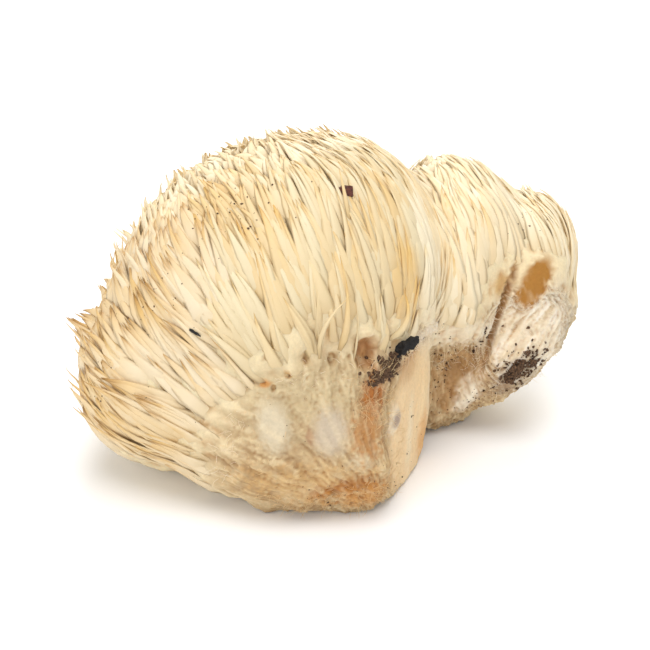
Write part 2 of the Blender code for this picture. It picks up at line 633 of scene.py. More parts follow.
@dataclass(frozen=True)
class FleshFinish(Finish):
    """Spongy mushroom flesh: matt, faintly mealy, with a soft glow, stained where it was torn.

    An attribute of the mesh holds its colour, laid on from these colours and the stains, with painted
    shade in small dips.
    """

    name: str = "mushroom_flesh"
    roughness: float = 0.62
    meal: Grain = Grain(0.9, 0.35, 0.5, 4.0, 0.65)
    mottle: tuple[float, float] = (0.92, 1.05)
    glow: float = 0.4
    glow_mm: float = 2.6
    glow_rgb: Vec = (1.0, 0.85, 0.7)
    ground: str = "AE9169"
    pale_patch: str = "C4AA82"
    pale_fleck: str = "D3BC92"
    brown_fleck: str = "9E7844"
    under_coat: str = "EAD8B1"
    fibre: str = "E4D1A8"
    between_fibres: str = "977243"
    torn_streak: str = "F1E9DB"
    between_streaks: str = "CBB086"
    rim_streak: str = "F1DFB8"
    # Painted shade: the tint multiplied into the flesh's colour in its small dips.
    hollow: Vec = (0.72, 0.5, 0.3)

    def material(self) -> Material:
        """Builds the material.

        Returns:
            The new material.
        """
        made, tree, shader = self.start()
        mottling = {
            "Value": self.meal.value(tree),
            "From Min": 0.32,
            "From Max": 0.68,
            "To Min": self.mottle[0],
            "To Max": self.mottle[1],
        }
        darker = add_node(tree, "ShaderNodeMapRange", None, mottling)
        tone = add_node(tree, "ShaderNodeAttribute", {"attribute_name": TONE})
        scaled = {0: tone.outputs["Color"], "Scale": darker.outputs[0]}
        mottled = add_node(tree, "ShaderNodeVectorMath", {"operation": "SCALE"}, scaled)
        fill(shader, {"Base Color": mottled.outputs[0], "Roughness": self.roughness, "IOR": MOIST_IOR})
        glow = {"Weight": self.glow, "Radius": self.glow_rgb, "Scale": self.glow_mm * MM}
        fill(shader, {f"Subsurface {name}": value for name, value in glow.items()})
        return made


@dataclass(frozen=True)
class CrumbFinish(Finish):
    """Bark, charred wood or leaf mould: dull and dry, two browns broken up by its own grain."""

    dark: str
    light: str
    grain: Grain
    roughness: float

    def material(self) -> Material:
        """Builds the material.

        Returns:
            The new material.
        """
        made, tree, shader = self.start()
        ramp = add_node(tree, "ShaderNodeValToRGB", None, {0: self.grain.value(tree)})
        fill_ramp(ramp, ((0.38, self.dark), (0.68, self.light)))
        fill(shader, {"Base Color": ramp.outputs[0], "Roughness": self.roughness})
        return made


@dataclass(frozen=True)
class FibreFinish(Finish):
    """Dry torn fibre: fine, pale and a little glossy, so that it catches the light."""

    colour: str
    roughness: float = 0.5

    def material(self) -> Material:
        """Builds the material.

        Returns:
            The new material.
        """
        made, _, shader = self.start()
        fill(shader, {"Base Color": linear(self.colour), "Roughness": self.roughness})
        return made


FLESH = FleshFinish()
IVORY = SpineFinish(
    "ivory_spine",
    ((0.0, "C6B18A"), (0.15, "D0BC94"), (0.42, "DAC9A4"), (0.8, "E3D3AF"), (1.0, "DDBD7D")),
    ((0.0, "C2A070"), (0.15, "CCAE78"), (0.42, "DABB86"), (0.8, "DDB772"), (1.0, "BD8533")),
)
PEACH = SpineFinish(
    "peach_spine",
    ((0.0, "C6B28B"), (0.15, "D3BF99"), (0.42, "E1D0B1"), (0.78, "E7D4B1"), (1.0, "CC9B51")),
    ((0.0, "C2A67B"), (0.15, "CEB385"), (0.42, "DCC398"), (0.72, "D8B373"), (1.0, "9C6921")),
)
CREAM = SpineFinish(
    "cream_spine",
    ((0.0, "D6BE95"), (0.15, "DFCBA3"), (0.45, "EBDCBC"), (0.8, "F1E4C7"), (1.0, "F0D9A3")),
    ((0.0, "CBAE7E"), (0.15, "D6BC8D"), (0.45, "E5CDA3"), (0.8, "E9CC96"), (1.0, "C79445")),
)
PALE_FIBRE = FibreFinish("pale_torn_fibre", "F1E1C5")
HONEY_FIBRE = FibreFinish("honey_torn_fibre", "E4C491")
CHARRED = CrumbFinish("charred_bark", "060505", "1B1613", Grain(0.7, 0.3, 0.8, 5.0, 0.7), 0.75)
RED_BARK = CrumbFinish("red_brown_bark", "3A1A14", "7A3E2A", Grain(0.5, 0.3, 0.8, 5.0, 0.7), 0.7)
MOULD = CrumbFinish("leaf_mould", "2A1B12", "7E5E42", Grain(0.5, 0.3, 0.8, 5.0, 0.7), 0.95)


# -------- flesh


@dataclass(frozen=True)
class Stain:
    """A patch of colour on the flesh, broken up at its rim: mostly its own colour, with painted shade in
    the recess and beneath the ledge and a painted highlight along the facet's rim.
    """

    blob: Blob
    colour: str
    strength: float = 1.0
    ragged: float = 0.5


@dataclass(frozen=True)
class Dent:
    """A rise (above 0) or hollow (below 0) of the flesh, with its height in millimetres.

    Smooth is how far it evens out the flesh's lumps, from 0 to 1.
    """

    blob: Blob
    height: float
    smooth: float = 0.0


@dataclass
class Flesh:
    """The flesh of the whole head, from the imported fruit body.

    Under the coat it lies shallow_mm to deep_mm down, and at most crown_mm and side_mm on the crown and
    on the side lobe. Reach is the surface before that, which the coat fills out to again. Spines stand
    as high as spine_mm lets them, and the flesh comes up over rim_mm where it turns bald. Faces under
    rest_mm stay large, and points under foot_mm only sink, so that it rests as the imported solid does.
    """

    field: CombField
    voxel_mm: float = 1.5
    even_rounds: int = 14
    shallow_mm: float = 2.3
    deep_mm: float = 4.9
    crown_mm: float = 3.4
    side_mm: float = 2.4
    rest_mm: float = 0.9
    foot_mm: float = 0.6
    spine_mm: float = 26.0
    rim_mm: float = 6.0
    torn_way: Vec = (0.56, 0.33, 0.76)

    def build(self) -> Object:
        """Makes the flesh, sunk under its coat and worked where it is bald.

        Returns:
            The flesh object.
        """
        obj = node_copy("fruit_body", "fruit_flesh")
        finished(obj, "REMESH", mode="VOXEL", voxel_size=self.voxel_mm * MM)
        finished(obj, "SMOOTH", iterations=self.even_rounds, factor=0.5)
        self.reach = BVHTree.FromObject(obj, bpy.context.evaluated_depsgraph_get())
        self.mesh = obj.data
        self.sink()
        self.refine(0.5)
        self.refine(0.6, front_only=True)
        self.work_surface()
        self.tint()
        shade(self.mesh, True)
        self.mesh.materials.append(FLESH.material())
        return obj

    def sink(self) -> None:
        """Lowers the flesh under the coat by the height that its spines stand."""
        points = points_of(self.mesh)
        outward = unit(spread(self.mesh, normals_of(self.mesh), 22))
        rise = np.clip((self.field.lie(points) * outward).sum(axis=1), 0.0, 1.0)
        shallow = self.shallow_mm * (1.0 - 0.5 * self.field.habit(points)[:, FUSE])
        depth = np.clip(self.spine_mm * (rise - 0.2) * 0.6, shallow, self.deep_mm)
        growth = self.field.growth_of(points)
        for kind, most in ((Growth.CROWN, self.crown_mm), (Growth.SIDE, self.side_mm)):
            here = growth == list(Growth).index(kind)
            depth = np.where(here, np.minimum(depth, most), depth)
        depth *= 1.0 - bald_share(points, self.rim_mm)
        depth = spread(self.mesh, depth, 12)
        move_points(self.mesh, points - outward * depth[:, None])

    def refine(self, least: float, front_only: bool = False) -> None:
        """Splits the faces of the bald flesh in four, all but those that it rests on.

        Args:
            least: how bald a face has to be.
            front_only: leaves out what can't be seen from the front.
        """
        points = points_of(self.mesh)
        bare = (bald_share(points) >= least) & (points[:, 2] > self.rest_mm)
        if front_only:
            bare &= (normals_of(self.mesh) @ np.array(FRONTWARD)) > -0.1
        bm = bmesh.new()
        bm.from_mesh(self.mesh)
        bm.verts.ensure_lookup_table()
        faces = [face for face in bm.faces if all(bare[vert.index] for vert in face.verts)]
        edges = list({edge for face in faces for edge in face.edges})
        bmesh.ops.subdivide_edges(bm, edges=edges, cuts=1, use_grid_fill=True)
        bm.to_mesh(self.mesh)
        bm.free()
        points = points_of(self.mesh)
        move_points(self.mesh, points * 0.5 + spread(self.mesh, points, 1) * 0.5)

    def work_surface(self) -> None:
        """Gives the flesh its lumps, ridges, pores, web and dents, all but a flat foot to rest on."""
        points = points_of(self.mesh)
        outward = normals_of(self.mesh)
        bare = bald_share(points)
        flow = self.flow(points)
        cut = np.maximum(CUT_FACE.share(points), OCHRE_FACE.share(points))
        # Lumps, then ridges that run on from the coat, and streaks down the torn side.
        height = ripple(points, 9.0) * 0.7 + ripple(points, 4.0, 7.0) * 0.4
        height += self.strands(points, flow, 2.1, 15.0) * (0.55 + 0.3 * rim_share(bare)) * 0.8
        height += self.strands(points, flow, 2.4, 22.0) * torn_share(points) * 0.3
        # Pores in patches, then a fine web and grain, all fainter on the smooth bulges.
        holes = eased((0.42 - pores(points, 3.4, 3.0)) / 0.25)
        height -= holes * 0.5 * bare * eased(ripple(points, 7.0, 21.0) * 2.0)
        height += self.strands(points, flow, 0.9, 7.0) * 0.3 * bare
        height += ripple(points, 0.9, 15.0) * 0.2 * bare
        for dent in DENTS:
            height *= 1.0 - dent.smooth * dent.blob.share(points)
        # The cut faces keep only faint long streaks.
        height = height * (1.0 - 0.85 * cut) + self.strands(points, flow, 1.6, 18.0) * 0.12 * cut
        for dent in DENTS:
            height += dent.height * dent.blob.share(points)
        foot = points[:, 2] < self.foot_mm
        height[foot] = np.minimum(height[foot], 0.0)
        moved = points + outward * height[:, None]
        moved[:, 2] = np.maximum(moved[:, 2], 0.02)
        move_points(self.mesh, moved)

    def flow(self, points: Rows) -> Rows:
        """The way the fibres of the flesh run: with the coat, and slanting where the side is torn."""
        torn = torn_share(points)[:, None]
        return unit(self.field.lie(points) * (1 - torn) + np.array(self.torn_way) * torn)

    def strands(self, points: Rows, flow: Rows, wide: float, long: float) -> Rows:
        """Gives noise that is drawn out along the fibres.

        Args:
            points: rows in millimetres.
            flow: the way the fibres run at each.
            wide: width of its ridges in millimetres.
            long: their length.

        Returns:
            One value for each point, about -1 to 1.
        """
        along = (points * flow).sum(axis=1, keepdims=True)
        drawn = points / wide - flow * along * (1 / wide - 1 / long)
        return ripple(drawn, 1.0, 31.0)

    def tint(self) -> None:
        """Colours the flesh: ground and flecks, fibres, stains (some of them painted shade and a painted
        highlight), streaks, and painted shade in its small dips.
        """
        points = points_of(self.mesh)
        flow = self.flow(points)
        bare = bald_share(points)
        calm = 1.0 - CUT_FACE.share(points)
        torn = torn_share(points)
        rim = rim_share(bare) * (1 - torn) * calm
        fibrous = self.strands(points, flow, 0.8, 8.0)
        streaks = self.strands(points, flow, 1.7, 20.0)
        broken = ripple(points, 2.2, 51.0) * 0.6 + ripple(points, 0.9, 57.0) * 0.4
        washes = [
            (FLESH.pale_patch, eased(ripple(points, 11.0, 41.0) * 0.8 + 0.5) * 0.6),
            (FLESH.pale_fleck, eased(ripple(points, 3.2, 43.0) * 1.3) * 0.35 * calm),
            (FLESH.brown_fleck, eased(ripple(points, 4.2, 47.0) * 1.4 - 0.1) * 0.35 * calm),
            (FLESH.under_coat, (1 - bare) * 0.9),
            (FLESH.fibre, eased(fibrous * 1.3) * 0.5 * calm * bare),
            (FLESH.between_fibres, eased(-fibrous * 1.3 - 0.2) * 0.4 * calm * bare),
        ]
        for stain in STAINS:
            # The rim, where the share is about a half, is broken up the most.
            share = stain.blob.share(points)
            share = np.clip(share + share * (1 - share) * broken * 4 * stain.ragged, 0, 1)
            washes.append((stain.colour, share * stain.strength))
        washes += [
            (FLESH.torn_streak, eased(streaks * 1.2) * torn * 0.7),
            (FLESH.between_streaks, eased(-streaks * 1.2 - 0.3) * torn * 0.6),
            (FLESH.rim_streak, eased(streaks * 1.3) * rim * 0.6),
        ]
        tone = np.tile(np.array(linear(FLESH.ground)[:3]), (len(points), 1))
        for colour, share in washes:
            mix = np.clip(share, 0.0, 1.0)[:, None]
            tone = tone * (1 - mix) + np.array(linear(colour)[:3]) * mix
        # Painted shade: the flesh darkens in its small dips.
        deep = self.hollow_shade_share()[:, None] * 0.75
        tone = tone * (1 - deep) + tone * np.array(FLESH.hollow) * deep
        colours = np.ones((len(points), 4), np.float32)
        colours[:, :3] = tone
        layer = self.mesh.attributes.new(TONE, "FLOAT_COLOR", "POINT")
        layer.data.foreach_set("color", colours.ravel())

    def hollow_shade_share(self) -> Rows:
        """Finds the small dips, where the flesh lies under its own evened shape, to darken them as painted
        shade.

        Returns:
            How far each point lies in one, from 0 to 1.
        """
        points = points_of(self.mesh)
        lift = ((spread(self.mesh, points, 5) - points) * normals_of(self.mesh)).sum(axis=1)
        return np.clip(lift / 0.35, 0.0, 1.0)


CUT_FACE = Blob("cut_face", (23, -22, 19), (5, 20, 24), (0, 0, -22.5), 0.15)
OCHRE_FACE = Blob("ochre_face", (58.5, 1, 51), (4.2, 8, 9.5), (0, 30, 0), 0.2)
TORN_FACE = Blob("torn_face", (58, -2, 33), (15, 14, 18), (0, 35, 0), 0.3)

DENTS = (
    Dent(Blob("left_bulge", (-17, -48, 30.5), (4.2, 5, 7.2), (0, -10, 0), 0.35), 1.3, 0.8),
    Dent(Blob("middle_bulge", (-2, -49, 29), (4.4, 5, 6.4), soft=0.4), 1.2, 0.8),
    Dent(Blob("ridge_bulge", (16, -36, 26), (2.0, 4, 3.2), soft=0.5), 0.8),
    Dent(Blob("pale_bulge", (6, -51, 20), (3.4, 4, 2.4), soft=0.5), 0.7),
    Dent(Blob("ridge", (10, -41, 36), (2.6, 6, 8.0), (0, 10, 0), 0.6), 1.0),
    Dent(Blob("tan_hollow", (8, -41, 48), (3.2, 4.5, 4.2)), -3.2),
    Dent(Blob("web_hole_1", (-8, -47, 49), (0.9, 3, 1.9)), -1.8),
    Dent(Blob("web_hole_2", (-1, -45, 48), (1.3, 3, 2.2)), -2.0),
    Dent(Blob("web_hole_3", (-18, -47, 50), (0.9, 3, 1.5)), -1.5),
    Dent(Blob("web_hole_4", (-21, -47, 43), (2.0, 3, 0.9)), -1.6),
    Dent(Blob("web_hole_5", (-17, -47, 41), (0.7, 3, 1.1)), -1.4),
    Dent(Blob("web_hole_6", (-13, -47, 45), (0.9, 3, 0.9)), -1.2),
    Dent(Blob("flank_hollow", (34, -7, 43), (2.4, 3, 4.2)), -1.8),
    Dent(Blob("seam", (48.5, 1, 42), (0.9, 6, 17), (0, 16, 0), 0.6), -3.0),
    Dent(Blob("recess", (35, 1, 18), (5, 6, 8), (0, 25, 0)), -2.0),
    Dent(Blob("ledge", (25, -18, 43), (8, 14, 2.6), (0, 0, 0), 0.5), 1.0),
)

STAINS = (
    Stain(Blob("web", (-8, -46, 38), (20, 8, 11), soft=0.8), "CBB993", 0.7, 0.6),
    Stain(Blob("left_bulge", (-17, -48, 30.5), (4.4, 6, 7.4), (0, -10, 0), 0.45), "D3C5A9", 0.9, 0.3),
    Stain(Blob("middle_bulge", (-2, -49, 29), (4.6, 6, 6.4), soft=0.5), "C2B29C", 0.9, 0.3),
    Stain(Blob("middle_bulge_edge", (-7.2, -48, 28), (1.0, 5, 2.6), (0, -15, 0), 0.7), "A67B56", 0.7, 0.6),
    Stain(Blob("pale_bulge", (6, -51, 20), (3.6, 5, 2.8), soft=0.7), "D1C0A0", 0.8, 0.2),
    Stain(Blob("low_honey", (-6, -50, 14), (20, 8, 6), soft=0.8), "D3AA6D", 0.5, 0.9),
    Stain(Blob("orange_ridge", (10, -42, 38), (2.9, 6, 6.5), (0, 10, 0), 0.6), "A66425", 0.95, 0.8),
    Stain(Blob("orange_low", (8, -47, 28), (3.8, 6, 7.0), soft=0.8), "B47A3C", 0.7, 1.0),
    Stain(Blob("bottom_stain", (3, -50, 12), (8.5, 6, 3.0), (0, -8, 0), 0.7), "9D5E1A", 0.85, 0.9),
    Stain(Blob("bottom_honey", (9, -47, 8), (12, 8, 4.5), soft=0.7), "C88D45", 0.65, 0.9),
    Stain(Blob("facet", (23, -22, 18), (5, 20, 25), (0, 0, -22.5), 0.2), "F0D1A2", 0.95, 0.2),
    Stain(Blob("facet_brown", (21, -26, 38), (7, 8, 5), soft=0.6), "C59867", 0.6, 0.5),
    Stain(Blob("facet_light", (26, -14, 12), (5, 6, 13), soft=0.6), "F1D7AA", 0.6, 0.1),
    Stain(Blob("facet_edge", (26, -15, 8), (3.5, 5, 8), soft=0.6), "DC9B4D", 0.65, 0.5),
    Stain(Blob("facet_vein", (21.5, -26, 20), (1.2, 3, 15), (0, 6, 0), 0.8), "F1E1C1", 0.6, 0.4),
    # Painted highlight along the facet's right edge.
    Stain(Blob("facet_rim", (28.5, -11, 22), (1.8, 4, 18), soft=0.7), "F1E3C5", 0.6, 0.4),
    Stain(Blob("spot_rim", (15.2, -37, 26), (2.6, 4, 4.0), soft=0.5), "F1E4CB", 0.8, 0.3),
    Stain(Blob("grey_spot", (16.2, -36, 26), (1.5, 4, 2.4), soft=0.5), "988071", 0.85, 0.2),
    Stain(Blob("tan_hollow", (8, -40, 48), (3.6, 5, 4.6), soft=0.4), "B37F4A", 0.85, 0.3),
    Stain(Blob("web_hole_2", (-1, -45, 48), (1.2, 3, 2.0), soft=0.4), "C5985A", 0.8, 0.2),
    Stain(Blob("web_hole_4", (-20, -47, 42.5), (2.6, 3, 1.1), soft=0.4), "C1843E", 0.9, 0.3),
    Stain(Blob("web_hole_5", (-13, -47, 45), (1.0, 3, 1.0), soft=0.4), "C99956", 0.8, 0.3),
    Stain(Blob("flank", (29, -14, 56), (7, 18, 24), soft=0.3), "F1E2C2", 0.75, 0.3),
    Stain(Blob("flank_hollow", (34, -7, 43), (2.6, 3, 4.4), soft=0.3), "D6B380", 0.7, 0.2),
    Stain(Blob("ledge", (26, -16, 43.5), (8, 12, 3.2), soft=0.5), "F1E7D6", 0.9, 0.9),
    # Painted shade: a dark brown line beneath the ledge's overhang.
    Stain(Blob("under_ledge", (22, -24, 40), (6, 9, 1.6), soft=0.7), "B08962", 0.7, 1.0),
    Stain(Blob("white_tear", (58, 0, 35), (14, 12, 16), (0, 35, 0), 0.4), "EBDDC4", 0.85, 0.4),
    Stain(Blob("ochre_patch", (58.3, 1, 50.6), (4.0, 8, 9.6), (0, 30, 0), 0.3), "A9752F", 1.0, 0.9),
    Stain(Blob("ochre_near_seam", (48, 0, 50), (2.2, 6, 3.4), (0, 20, 0), 0.6), "C59754", 0.8),
    Stain(Blob("seam", (48.5, 1, 42), (1.0, 7, 17), (0, 16, 0), 0.6), "9E6F33", 0.9, 0.3),
    # Painted shade in the recess between the lobes, darkening its brown soiled flesh.
    Stain(Blob("recess", (36, 0, 20), (8, 8, 12), (0, 25, 0), 0.6), "B48C5B", 0.85, 0.9),
    Stain(Blob("recess_web", (38, -3, 36), (11, 10, 4.6), (0, 10, 0), 0.6), "E8DAC0", 0.85, 1.0),
    Stain(Blob("white_foot", (39.5, 0, 15), (2.8, 7, 7), (0, 22, 0), 0.6), "F1E8D4", 0.9, 0.7),
    Stain(Blob("soil_stain", (52, 0, 21), (8, 8, 4.0), (0, -45, 0), 0.7), "977C62", 0.75, 1.0),
    Stain(Blob("crumb_stain", (14, -37, 42), (4.5, 5, 3.4), soft=0.6), "95714F", 0.7, 1.0),
)


# -------- spines


@dataclass(frozen=True)
class Coat:
    """How one growth of spines looks: its finish, and how dried its spines are."""

    finish: SpineFinish
    dried: float


@dataclass(frozen=True)
class Stray:
    """One spine that lies across the rest, in millimetres."""

    at: Vec
    through: Vec
    to: Vec
    wide: float

    def path(self, places: Rows) -> Rows:
        """Bends it through its three places.

        Args:
            places: how far along it each point is, from 0 at its root to 1 at its tip.

        Returns:
            The points.
        """
        at, through, to = (np.array(place, float) for place in (self.at, self.through, self.to))
        t = places[:, None]
        return at * (1 - t) ** 2 + (4 * through - at - to) * t * (1 - t) + to * t * t


STRAYS = (
    Stray((-4.7, -45.5, 49), (-3.2, -47.8, 59.5), (3.8, -45.0, 67.5), 2.0),
    Stray((13.2, -36.5, 50), (18.6, -36.5, 56), (17.5, -33.5, 64), 3.0),
    Stray((3.4, -30.0, 80.5), (1.8, -25.8, 88.4), (0.3, -18.0, 93.0), 1.7),
    Stray((0.5, -44.5, 51), (2.6, -44.6, 60), (2.0, -41.5, 71), 3.0),
)

DRIED_AND_SHADE_PATCHES = (
    (Blob("yellow_edge", (19, -29, 62), (4.5, 9, 13), soft=0.4), 0.9),
    (Blob("soiled_crown", (-27, -26, 84), (13, 12, 8), soft=0.7), 0.3),
    (Blob("left_tips", (-68, -24, 44), (12, 20, 28), soft=0.7), 0.35),
    (Blob("left_tufts", (-53, -32, 58), (7, 8, 5), (0, 40, 0), 0.7), 0.45),
    (Blob("honey_patch", (-45, -44, 25), (7, 6, 2.0), (0, 12, 0), 0.7), 0.9),
    (Blob("honey_streak", (-39, -45, 22), (8, 6, 1.4), (0, 8, 0), 0.7), 0.7),
    # Painted shade: turns the spines of the underside at the lower left toward their dried colour to
    # darken them.
    (Blob("low_left", (-50, -41, 22), (16, 12, 8), soft=0.7), 0.5),
    (Blob("middle_lobe", (36, 4, 66), (12, 14, 14), soft=0.7), 0.25),
)

COATS = {
    Growth.FRONT: Coat(IVORY, 0.25),
    Growth.LEFT: Coat(PEACH, 0.36),
    Growth.CROWN: Coat(CREAM, 0.35),
    Growth.BACK: Coat(CREAM, 0.40),
    Growth.SIDE: Coat(CREAM, 0.30),
}


@dataclass
class Spines:
    """The shaggy coat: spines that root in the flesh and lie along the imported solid's surface.

    Some lie on top along their whole length. The rest fill in under them. Reach is the surface that they
    fill out to. Each is a tube of so many sides and rings, led in so many steps from rooted_mm under the
    flesh, and none roots lower than lowest_mm. Tufts are about tuft_mm apart.
    """

    field: CombField
    reach: BVHTree
    spacing_mm: float = 2.2
    tuft_mm: float = 6.5
    sides: int = 6
    rings: int = 7
    steps: int = 12
    rooted_mm: float = 1.2
    lowest_mm: float = 1.2
    stray_out: Vec = (0.1, -0.9, 0.4)
    batch: int = 500
    seed: int = 4

    def build(self, flesh: Object) -> list[Object]:
        """Grows the coat.

        Args:
            flesh: the flesh that it roots in.

        Returns:
            One object for each growth.
        """
        self.rng = np.random.default_rng(self.seed)
        skin = BVHTree.FromObject(flesh, bpy.context.evaluated_depsgraph_get())
        roots, outward = self.roots(flesh.data)
        habit = self.field.habit(roots)
        on_top = self.rng.random(len(roots)) < (self.spacing_mm / habit[:, GAP]) ** 2
        paths = self.gathered(self.paths(roots, outward, on_top), habit[:, TUFT])
        paths = self.kept_out(paths, skin)
        growth = self.field.growth_of(roots)
        clear = self.clear_of_bits(paths)
        made = []
        for number, kind in enumerate(Growth):
            chosen = (growth == number) & clear
            parts = [paths[chosen], outward[chosen], habit[chosen], on_top[chosen]]
            if kind is Growth.FRONT:
                parts = [np.concatenate(pair) for pair in zip(parts, self.strays())]
            made.append(self.piece(kind, *parts))
        return made

    def strays(self) -> list[Rows]:
        """Gathers what a piece takes for the few spines that lie across the rest.

        Returns:
            Their paths, normals and habits, and that they lie on top.
        """
        paths = np.stack([stray.path(self.ring_places()) for stray in STRAYS])
        outward = np.tile(unit(np.array(self.stray_out)), (len(STRAYS), 1))
        habit = self.field.habit(paths[:, 0])
        habit[:, WIDE] = [stray.wide for stray in STRAYS]
        return [paths, outward, habit, np.ones(len(STRAYS), bool)]

    def roots(self, mesh: Mesh) -> tuple[Rows, Rows]:
        """Scatters roots over the shaggy flesh, about a spacing apart.

        Args:
            mesh: the flesh.

        Returns:
            The roots and the flesh's normals there.
        """
        mesh.calc_loop_triangles()
        corners = read(mesh.loop_triangles, "vertices", 3, np.int32)
        points, normals = points_of(mesh), normals_of(mesh)
        a, b, c = (points[corners[:, i]] for i in range(3))
        area = np.linalg.norm(np.cross(b - a, c - a), axis=1) / 2
        tried = int(area.sum() / self.spacing_mm**2 * 4)
        pick = self.rng.choice(len(area), tried, p=area / area.sum())
        u, v = self.rng.random((2, tried, 1))
        flip = (u + v) > 1
        u, v = np.where(flip, 1 - u, u), np.where(flip, 1 - v, v)
        spots = a[pick] + (b - a)[pick] * u + (c - a)[pick] * v
        facing = unit(sum(normals[corners[pick, i]] for i in range(3)))
        # The coat has a ragged edge, a sharper one on the side lobe, and none of it faces down.
        ragged = np.where(spots[:, 0] > SIDE_LOBE_X, 0.1, 0.85)
        coated = bald_share(spots) < 0.1 + ragged * self.rng.random(tried) ** 1.5
        coated &= facing[:, 2] > -0.72 + 0.15 * self.rng.random(tried)
        coated &= spots[:, 2] > self.lowest_mm
        spots, facing = spots[coated], facing[coated]
        kept = self.thinned(spots, self.spacing_mm)
        return spots[kept], facing[kept]

    def thinned(self, spots: Rows, spacing: float) -> list[int]:
        """Thins out spots until no two are closer than about the spacing.

        Args:
            spots: rows in millimetres.
            spacing: the spacing in millimetres.

        Returns:
            Numbers of those that are kept.
        """
        cells: dict[tuple[int, int, int], list[int]] = {}
        kept: list[int] = []
        steps = list(product((-1, 0, 1), repeat=3))
        apart = (spacing * 0.93) ** 2
        for number, spot in enumerate(spots):
            x, y, z = (int(value) for value in np.floor(spot / spacing))
            near = [other for a, b, c in steps for other in cells.get((x + a, y + b, z + c), ())]
            if (((spots[near] - spot) ** 2).sum(axis=1) >= apart).all():
                cells.setdefault((x, y, z), []).append(number)
                kept.append(number)
        return kept

    def paths(self, roots: Rows, outward: Rows, on_top: Rows) -> Rows:
        """Routes all spines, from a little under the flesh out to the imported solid.

        Args:
            roots: where they start.
            outward: the flesh's normals there.
            on_top: which of them lie on top.

        Returns:
            Points of each spine, root first.
        """
        count = len(roots)
        habit = self.field.habit(roots)
        fuse, flare = habit[:, FUSE], habit[:, FLARE]
        rim = bald_share(roots)
        length = habit[:, LENGTH] * np.where(on_top, 1.0, 0.85) * (0.82 + 0.3 * self.rng.random(count))
        length = length * (1.0 - rim * self.rng.random(count) * 0.8)
        step_mm = (length / self.steps)[:, None]
        # Each spine strays from the lie of the coat: with its neighbours, on its own, and by a curl.
        loose = (1.3 - 0.8 * fuse)[:, None]
        clump = np.stack([ripple(roots, 8.0, 61.0 + 9 * i) for i in range(3)], axis=1) * 0.13
        stray = self.rng.normal(0, 0.045, (count, 3)) * np.where(on_top, 1.3, 0.6)[:, None] * loose
        curl = self.rng.normal(0, 0.12, (count, 3)) * loose
        place = roots - outward * self.rooted_mm
        away, out = nearest(self.reach, place)
        deep = np.maximum(-away, 0.6)
        # Where it comes up to the surface, how far under it that is, and how far over it its tip ends.
        risen = np.where(on_top, 0.38, 0.6) * (0.8 + 0.4 * self.rng.random(count))
        below = np.where(on_top, 0.4 + 0.3 * fuse**2, 0.6)
        uneven = self.rng.normal(0, 1, count) * (0.7 - 0.55 * fuse)
        tip = np.where(on_top, 0.4 - 0.4 * fuse**2, -0.3) + uneven
        free = np.where(on_top, self.rng.random(count) ** 0.6, 0.25 * self.rng.random(count))
        free = free * np.clip(flare / 3.0, 0.0, 1.0)
        route = [place]
        for step in range(1, self.steps + 1):
            t = step / self.steps
            stand = out * (0.1 * flare * free * t * t)[:, None]
            lean = unit(self.field.lie(place) + clump + stray + curl * t * t + stand)
            aimed = place + lean * step_mm
            away, out = nearest(self.reach, aimed)
            want = -deep * np.maximum(0.0, 1 - t / risen) ** 1.5
            want = np.maximum(want - below * (1 - t), -deep) + tip * t * t
            want = np.where(rim > 0.05, np.minimum(want, 1.3 * t - 0.9), want)
            held = 1.0 - eased((t - 0.45) / 0.4) * free
            pull = (want - away) * held - np.maximum(away - flare, 0.0) * (1.0 - held)
            move = aimed + out * pull[:, None] - place
            far = np.linalg.norm(move, axis=1, keepdims=True)
            place = place + move * np.minimum(1.0, step_mm / np.maximum(far, 1e-6))
            route.append(place)
        return self.evened(np.stack(route, axis=1))

    def gathered(self, route: Rows, tuft: Rows) -> Rows:
        """Draws neighbouring spines together toward their tips, so that the coat falls into tufts.

        Args:
            route: points of each spine.
            tuft: how much each is drawn.

        Returns:
            The points, drawn together.
        """
        guides = np.array(self.thinned(route[:, 0], self.tuft_mm))
        leader = np.empty(len(route), int)
        # Each follows the nearest guide, by where they are at their third ring.
        for start in range(0, len(route), self.batch):
            part = route[start : start + self.batch, 2]
            gap = np.linalg.norm(part[:, None] - route[guides, 2][None], axis=2)
            leader[start : start + self.batch] = guides[gap.argmin(axis=1)]
        drawn = tuft * (0.5 + 0.7 * self.rng.random(len(route)))
        share = drawn[:, None] * self.ring_places()[None] ** 1.7
        return route + (route[leader] - route) * share[..., None]

    def evened(self, route: Rows) -> Rows:
        """Eases the kinks out of the routes.

        Args:
            route: points of each spine, one for each step.

        Returns:
            Points of each spine, one for each ring.
        """
        for _ in range(3):
            inner = (route[:, :-2] + route[:, 2:]) * 0.25 + route[:, 1:-1] * 0.5
            route = np.concatenate([route[:, :1], inner, route[:, -1:]], axis=1)
        spots = self.ring_places() * (route.shape[1] - 1)
        low = np.minimum(spots.astype(int), route.shape[1] - 2)
        part = (spots - low)[None, :, None]
        return route[:, low] * (1 - part) + route[:, low + 1] * part

    def clear_of_bits(self, paths: Rows) -> Rows:
        """Finds the spines that don't run over a clinging bit.

        Args:
            paths: points of each spine.

        Returns:
            True for each of them.
        """
        clear = np.ones(len(paths), bool)
        for bit in BITS:
            points = points_of(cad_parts[bit.node].data)
            centre = (points.min(axis=0) + points.max(axis=0)) / 2
            _, out = nearest(self.reach, centre[None])
            gap = paths[:, 1:] - centre
            height = gap @ out[0]
            aside = np.linalg.norm(gap - height[..., None] * out[0], axis=2)
            clear &= ~((height > bit.height_mm) & (aside < bit.clearance_mm)).any(axis=1)
        return clear

    def ring_places(self) -> Rows:
        """Where the rings of a spine lie along it, closer together at the tip."""
        return np.linspace(0, 1, self.rings + 1) ** 0.85

